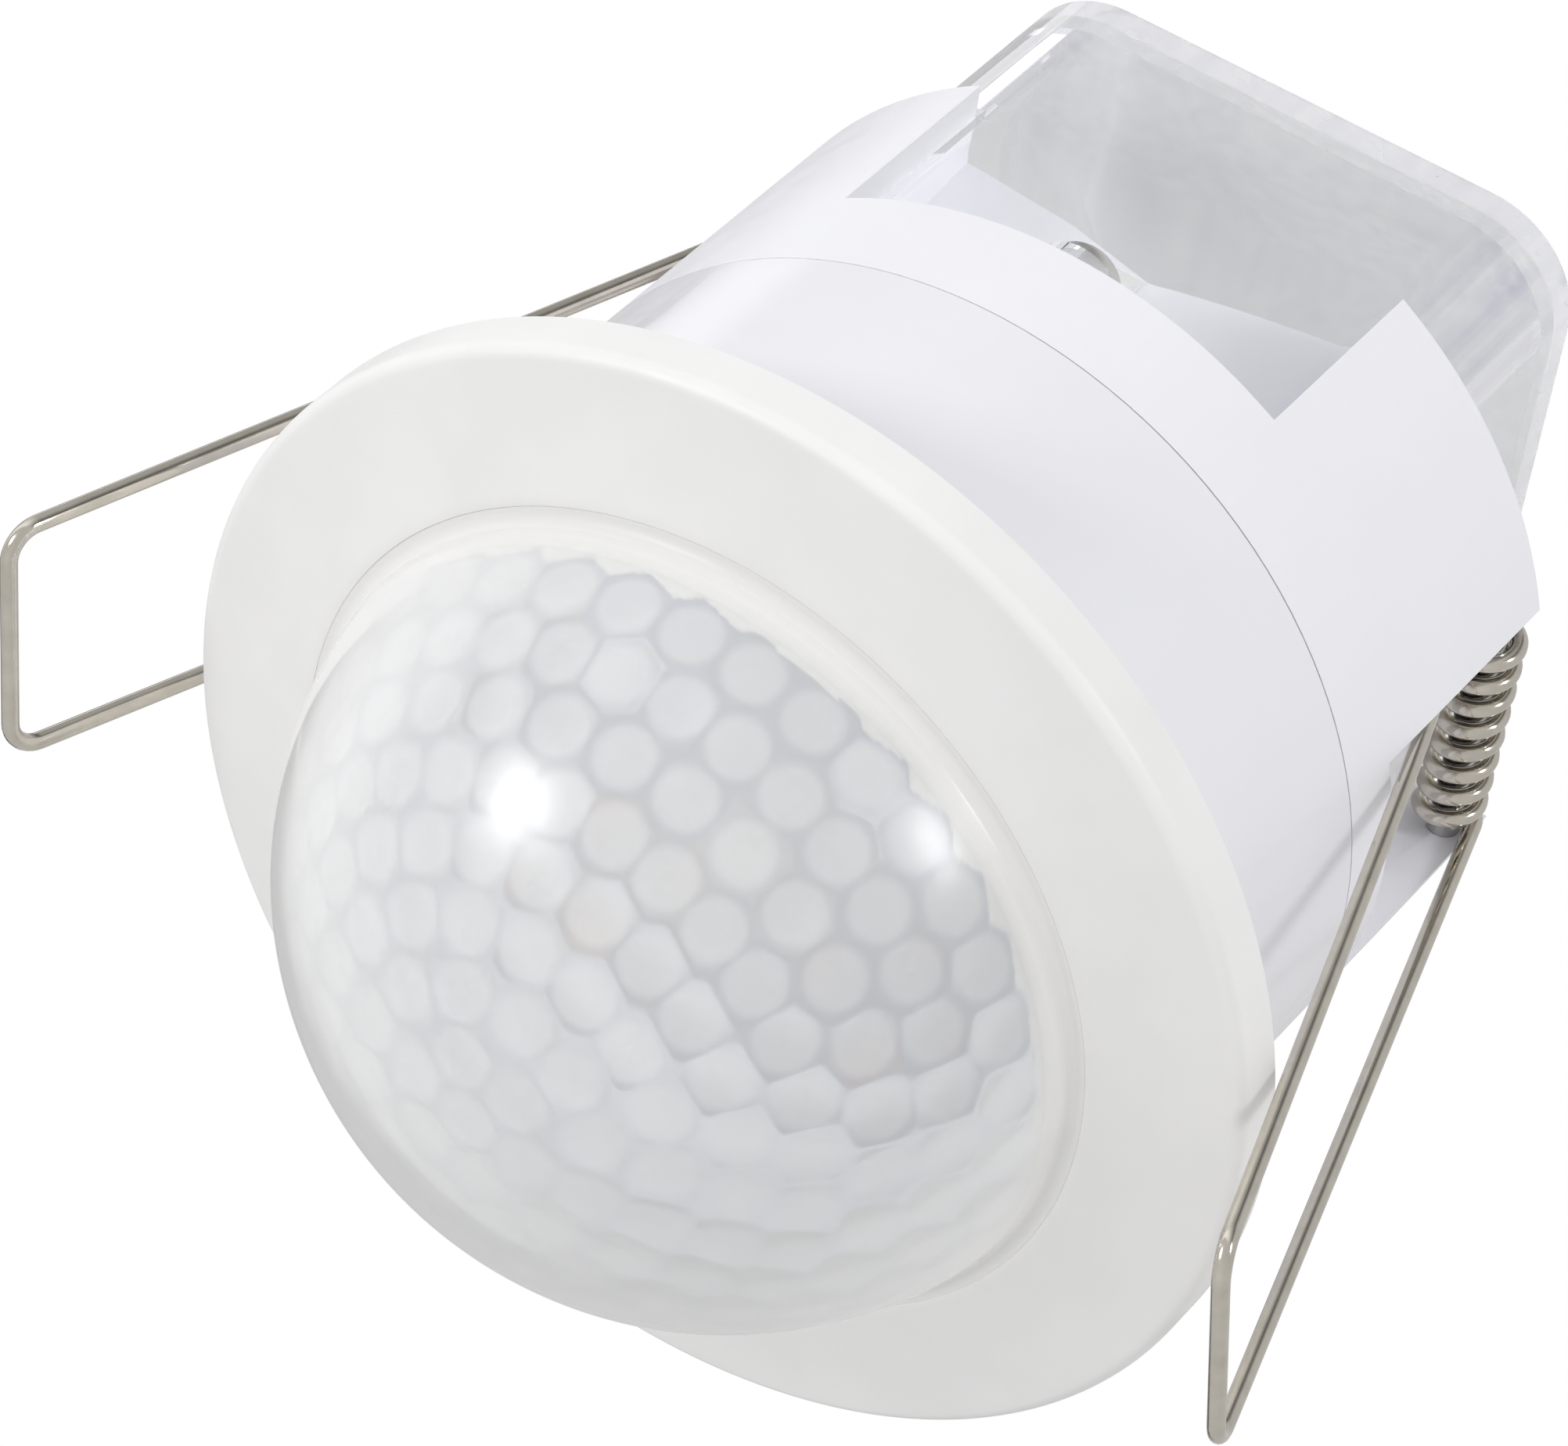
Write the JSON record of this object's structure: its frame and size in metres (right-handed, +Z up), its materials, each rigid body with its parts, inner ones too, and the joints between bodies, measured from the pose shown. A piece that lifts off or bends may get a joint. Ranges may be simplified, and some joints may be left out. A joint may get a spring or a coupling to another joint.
{
  "type": "ceiling motion sensor",
  "caption": "Recessed ceiling motion sensor: domed milky lens in a round trim ring, white stepped body, clear terminal cover and sprung wire clips.",
  "frame": {"origin": "centre of the ring-shaped face that rests against the ceiling, on the body's axis", "axes": "+Z up into the ceiling along the body's axis; +X through the two spring clips; the cable enters from +Y"},
  "size_m": [0.0941, 0.078, 0.0907],
  "materials": {
    "trim_plastic": "warm white moulded plastic, satin",
    "lens_plastic": "milky translucent polyethylene with moulded lens cells",
    "gloss_housing": "cool white moulded plastic, glossy",
    "satin_housing": "cool white moulded plastic, semi-gloss",
    "clear_cover": "clear moulded polycarbonate",
    "screw_nickel": "nickel plated",
    "spring_nickel": "nickel plated spring wire",
    "pin_steel": "drawn steel",
    "board": "green solder mask",
    "screw_steel": "zinc plated",
    "sensor_can": "nickel plated can",
    "sensor_window": "dark infrared filter",
    "light_cell": "lacquered ceramic",
    "led_red": "tinted epoxy",
    "trimmer_blue": "moulded plastic",
    "trimmer_white": "moulded plastic",
    "chip_black": "moulded epoxy",
    "gold_pins": "gold flash",
    "relay_blue": "moulded case",
    "film_yellow": "moulded case",
    "sleeve_dark": "shrink sleeve",
    "disc_blue": "epoxy dip",
    "resistor_body": "lacquer",
    "terminal_green": "moulded polyamide",
    "clamp_plastic": "cool white moulded plastic"
  },
  "bodies": {
    "housing": {"front_housing": "gloss_housing", "rear_housing": "satin_housing", "spring_pin_right": "pin_steel", "spring_pin_left": "pin_steel", "sensor_board": "board", "sensor_board_screws": "screw_steel", "infrared_sensor": "sensor_can", "infrared_window": "sensor_window", "light_sensor": "light_cell", "indicator_led": "led_red", "trimmer_housings": "trimmer_blue", "sensor_chip": "chip_black", "link_header": "chip_black", "link_pins": "gold_pins", "power_board": "board", "power_board_screws": "screw_steel", "relay": "relay_blue", "dropper_capacitor": "film_yellow", "smoothing_capacitors": "sleeve_dark", "surge_disc": "disc_blue", "fusible_resistor": "resistor_body", "bridge_rectifier": "chip_black", "terminal_block": "terminal_green", "terminal_screws": "screw_steel", "cable_clamp": "clamp_plastic", "cable_clamp_screws": "screw_steel"},
    "trim": {"trim_ring": "trim_plastic", "dome_lens": "lens_plastic"},
    "rear_cover": {"terminal_cover": "clear_cover", "cover_screws": "screw_nickel"},
    "clip_right": {"spring_clip_right": "spring_nickel"},
    "clip_left": {"spring_clip_left": "spring_nickel"},
    "time_knob": {"time_trimmer": "trimmer_white"},
    "light_knob": {"light_trimmer": "trimmer_white"}
  },
  "joints": [
    {"name": "trim_pull", "type": "slide", "parent": "housing", "child": "trim", "axis": [0, 0, -1], "range_m": [0, 0.03]},
    {"name": "cover_lift", "type": "slide", "parent": "housing", "child": "rear_cover", "axis": [0, 0, 1], "range_m": [0, 0.025]},
    {"name": "clip_right_fold", "type": "hinge", "parent": "housing", "child": "clip_right", "pos_m": [0.0283, 0, 0.0432], "axis": [0, -1, 0], "range_deg": [0, 166], "stiffness_Nm_per_rad": 0.285, "springref_deg": -20.05},
    {"name": "clip_left_fold", "type": "hinge", "parent": "housing", "child": "clip_left", "pos_m": [-0.0283, 0, 0.0432], "axis": [0, 1, 0], "range_deg": [0, 164], "stiffness_Nm_per_rad": 0.285, "springref_deg": -22.06},
    {"name": "time_turn", "type": "hinge", "parent": "housing", "child": "time_knob", "pos_m": [-0.009, -0.0105, 0.0012], "axis": [0, 0, -1], "range_deg": [0, 270]},
    {"name": "light_turn", "type": "hinge", "parent": "housing", "child": "light_knob", "pos_m": [0.009, -0.0105, 0.0012], "axis": [0, 0, -1], "range_deg": [0, 270]}
  ]
}
